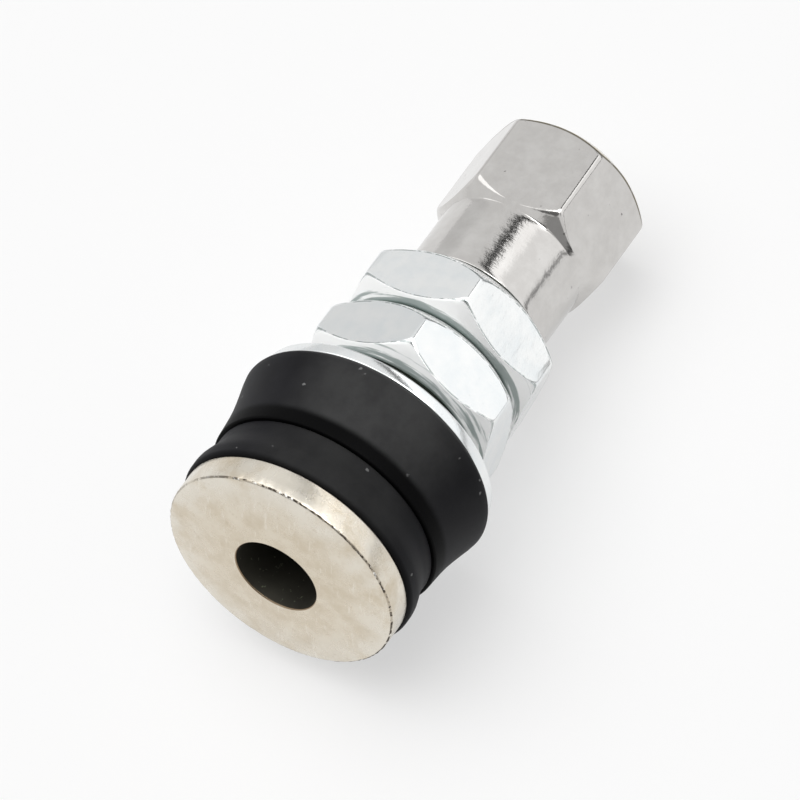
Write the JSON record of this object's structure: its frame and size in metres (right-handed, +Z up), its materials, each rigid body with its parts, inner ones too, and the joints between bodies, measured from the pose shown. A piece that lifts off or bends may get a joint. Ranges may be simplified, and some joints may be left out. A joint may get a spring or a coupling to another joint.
{
  "type": "tyre valve",
  "caption": "Clamp-in metal tyre valve: domed foot, rubber seals, washer, hexagon nuts and cap, and a spring-closed core that lets air in and holds it in a wheel.",
  "frame": {"origin": "on the surface that the valve lies on, midway along it", "axes": "+Z up; +X from the foot to the cap, level; the valve's own axis lies in the XZ plane and dips 7.9 degrees towards the cap"},
  "size_m": [0.0406, 0.0192, 0.0196],
  "materials": {
    "nickel": "nickel-plated, satin turned",
    "rubber": "moulded, matt to semi-matt",
    "zinc": "bright zinc plate, bluish white",
    "chrome": "chrome plate, fine turning marks on the skirt",
    "brass": "turned",
    "seal_plastic": "moulded",
    "spring_steel": "drawn wire"
  },
  "bodies": {
    "stem": {"valve_stem": "nickel", "inner_seal": "rubber", "outer_seal": "rubber", "core_plug": "brass", "core_barrel": "brass", "core_barrel_seal": "seal_plastic", "core_spring": "spring_steel"},
    "washer": {"washer": "zinc"},
    "lower_nut": {"lower_nut": "zinc"},
    "upper_nut": {"upper_nut": "zinc"},
    "cap_seal": {"cap_seal": "rubber"},
    "cap": {"cap": "chrome"},
    "core_pin": {"core_pin": "brass", "core_plunger_cup": "brass", "core_plunger_gasket": "rubber"}
  },
  "joints": [
    {"name": "washer_turn", "type": "hinge", "parent": "stem", "child": "washer", "pos_m": [-0.00754, 0, 0.00942], "axis": [0.9904, 0, -0.1382], "range_deg": [-612, 90]},
    {"name": "lower_nut_run", "type": "slide", "parent": "washer", "child": "lower_nut", "axis": [0.9904, 0, -0.1382], "range_m": [-0.00171, 0.00026]},
    {"name": "upper_nut_turn", "type": "hinge", "parent": "lower_nut", "child": "upper_nut", "pos_m": [0.00023, 0, 0.00834], "axis": [0.9904, 0, -0.1382], "range_deg": [0, 90]},
    {"name": "cap_lift", "type": "slide", "parent": "stem", "child": "cap_seal", "axis": [0.9904, 0, -0.1382], "range_m": [0, 0.0088]},
    {"name": "cap_turn", "type": "hinge", "parent": "cap_seal", "child": "cap", "pos_m": [0.00588, 0, 0.00755], "axis": [0.9904, 0, -0.1382], "range_deg": [0, 3960]},
    {"name": "core_press", "type": "slide", "parent": "stem", "child": "core_pin", "axis": [-0.9904, 0, 0.1382], "range_m": [0, 0.0012], "stiffness_N_per_m": 600, "deforming": ["core_spring"]}
  ],
  "couplings": [
    {"joint": "lower_nut_run", "follows": "washer_turn", "m_per_rad": 0.00015915},
    {"joint": "cap_lift", "follows": "cap_turn", "m_per_rad": 0.00012633}
  ]
}
